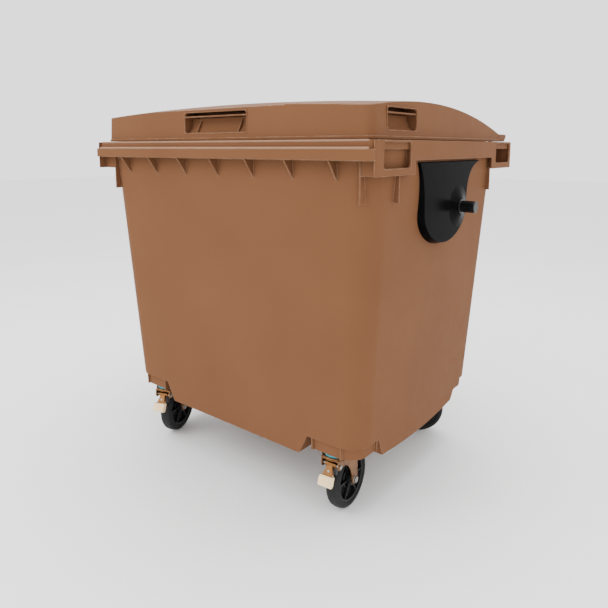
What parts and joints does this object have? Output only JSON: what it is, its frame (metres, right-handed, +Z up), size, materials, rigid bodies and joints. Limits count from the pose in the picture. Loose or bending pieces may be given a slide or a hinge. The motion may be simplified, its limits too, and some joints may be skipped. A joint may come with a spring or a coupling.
{
  "type": "wheelie bin",
  "caption": "Large wheeled waste container: tapered tub with comb rim, crowned hinged lid, side trunnions and swivel castors with foot brakes.",
  "frame": {"origin": "on the floor under the middle of the overall width and depth", "axes": "+Z up; -Y towards the front comb and lid handle; +X towards the right-hand trunnion"},
  "size_m": [1.37, 1.05, 1.3459],
  "materials": {
    "tub_plastic": "fine moulded satin, warm brown",
    "lid_plastic": "fine moulded satin, warm brown",
    "trunnion_plastic": "smooth moulded black",
    "trunnion_sleeve": "smooth black sleeve over a steel core",
    "tyre": "dull black rubber",
    "hub_plastic": "moulded black",
    "yellow_zinc": "yellow passivated zinc",
    "seal_plastic": "cyan moulded ring",
    "pedal_plastic": "cream moulded",
    "shoe_rubber": "matt rubber",
    "soft_rubber": "matt rubber",
    "steel": "zinc plated"
  },
  "bodies": {
    "tub": {"tub": "tub_plastic", "drain_seal": "soft_rubber", "left_trunnion_plate": "trunnion_plastic", "right_trunnion_plate": "trunnion_plastic", "left_trunnion_pin": "trunnion_sleeve", "right_trunnion_pin": "trunnion_sleeve", "left_trunnion_screws": "steel", "right_trunnion_screws": "steel", "left_hinge_pin": "steel", "right_hinge_pin": "steel", "front_left_mount_plate": "yellow_zinc", "front_left_plate_bolts": "steel", "front_left_kingpin": "steel", "front_right_mount_plate": "yellow_zinc", "front_right_plate_bolts": "steel", "front_right_kingpin": "steel", "rear_left_mount_plate": "yellow_zinc", "rear_left_plate_bolts": "steel", "rear_left_kingpin": "steel", "rear_right_mount_plate": "yellow_zinc", "rear_right_plate_bolts": "steel", "rear_right_kingpin": "steel"},
    "lid": {"lid": "lid_plastic", "lid_buffers": "soft_rubber"},
    "drain_plug": {"drain_plug": "trunnion_plastic"},
    "front_left_castor": {"front_left_fork": "yellow_zinc", "front_left_bearing_balls": "steel", "front_left_bearing_seal": "seal_plastic", "front_left_axle_bolt": "steel", "front_left_axle_sleeve": "steel", "front_left_brake_pin": "steel"},
    "front_left_wheel": {"front_left_wheel_hub": "hub_plastic", "front_left_tyre": "tyre"},
    "front_left_brake": {"front_left_brake_pedal": "pedal_plastic", "front_left_brake_shoe": "shoe_rubber"},
    "front_right_castor": {"front_right_fork": "yellow_zinc", "front_right_bearing_balls": "steel", "front_right_bearing_seal": "seal_plastic", "front_right_axle_bolt": "steel", "front_right_axle_sleeve": "steel", "front_right_brake_pin": "steel"},
    "front_right_wheel": {"front_right_wheel_hub": "hub_plastic", "front_right_tyre": "tyre"},
    "front_right_brake": {"front_right_brake_pedal": "pedal_plastic", "front_right_brake_shoe": "shoe_rubber"},
    "rear_left_castor": {"rear_left_fork": "yellow_zinc", "rear_left_bearing_balls": "steel", "rear_left_bearing_seal": "seal_plastic", "rear_left_axle_bolt": "steel", "rear_left_axle_sleeve": "steel"},
    "rear_left_wheel": {"rear_left_wheel_hub": "hub_plastic", "rear_left_tyre": "tyre"},
    "rear_right_castor": {"rear_right_fork": "yellow_zinc", "rear_right_bearing_balls": "steel", "rear_right_bearing_seal": "seal_plastic", "rear_right_axle_bolt": "steel", "rear_right_axle_sleeve": "steel"},
    "rear_right_wheel": {"rear_right_wheel_hub": "hub_plastic", "rear_right_tyre": "tyre"}
  },
  "joints": [
    {"name": "lid_hinge", "type": "hinge", "parent": "tub", "child": "lid", "pos_m": [0, 0.517, 1.232], "axis": [-1, 0, 0], "range_deg": [0, 250]},
    {"name": "drain_plug_turn", "type": "hinge", "parent": "tub", "child": "drain_plug", "pos_m": [0, -0.33, 0.25], "axis": [0, 0, 1], "range_deg": [0, 90]},
    {"name": "front_left_swivel", "type": "hinge", "parent": "tub", "child": "front_left_castor", "pos_m": [-0.425, -0.384, 0.21], "axis": [0, 0, 1], "continuous": true},
    {"name": "front_left_roll", "type": "hinge", "parent": "front_left_castor", "child": "front_left_wheel", "pos_m": [-0.44539, -0.32123, 0.1], "axis": [-0.9511, -0.309, 0], "continuous": true},
    {"name": "front_left_brake_press", "type": "hinge", "parent": "front_left_castor", "child": "front_left_brake", "pos_m": [-0.41573, -0.41253, 0.188], "axis": [0.9511, 0.309, 0], "range_deg": [0, 10]},
    {"name": "front_right_swivel", "type": "hinge", "parent": "tub", "child": "front_right_castor", "pos_m": [0.425, -0.384, 0.21], "axis": [0, 0, 1], "continuous": true},
    {"name": "front_right_roll", "type": "hinge", "parent": "front_right_castor", "child": "front_right_wheel", "pos_m": [0.4204, -0.31816, 0.1], "axis": [-0.9976, -0.0698, 0], "continuous": true},
    {"name": "front_right_brake_press", "type": "hinge", "parent": "front_right_castor", "child": "front_right_brake", "pos_m": [0.42709, -0.41393, 0.188], "axis": [0.9976, 0.0698, 0], "range_deg": [0, 10]},
    {"name": "rear_left_swivel", "type": "hinge", "parent": "tub", "child": "rear_left_castor", "pos_m": [-0.425, 0.339, 0.21], "axis": [0, 0, 1], "continuous": true},
    {"name": "rear_left_roll", "type": "hinge", "parent": "rear_left_castor", "child": "rear_left_wheel", "pos_m": [-0.39402, 0.39727, 0.1], "axis": [-0.8829, 0.4695, 0], "continuous": true},
    {"name": "rear_right_swivel", "type": "hinge", "parent": "tub", "child": "rear_right_castor", "pos_m": [0.425, 0.339, 0.21], "axis": [0, 0, 1], "continuous": true},
    {"name": "rear_right_roll", "type": "hinge", "parent": "rear_right_castor", "child": "rear_right_wheel", "pos_m": [0.36784, 0.306, 0.1], "axis": [0.5, -0.866, 0], "continuous": true}
  ]
}
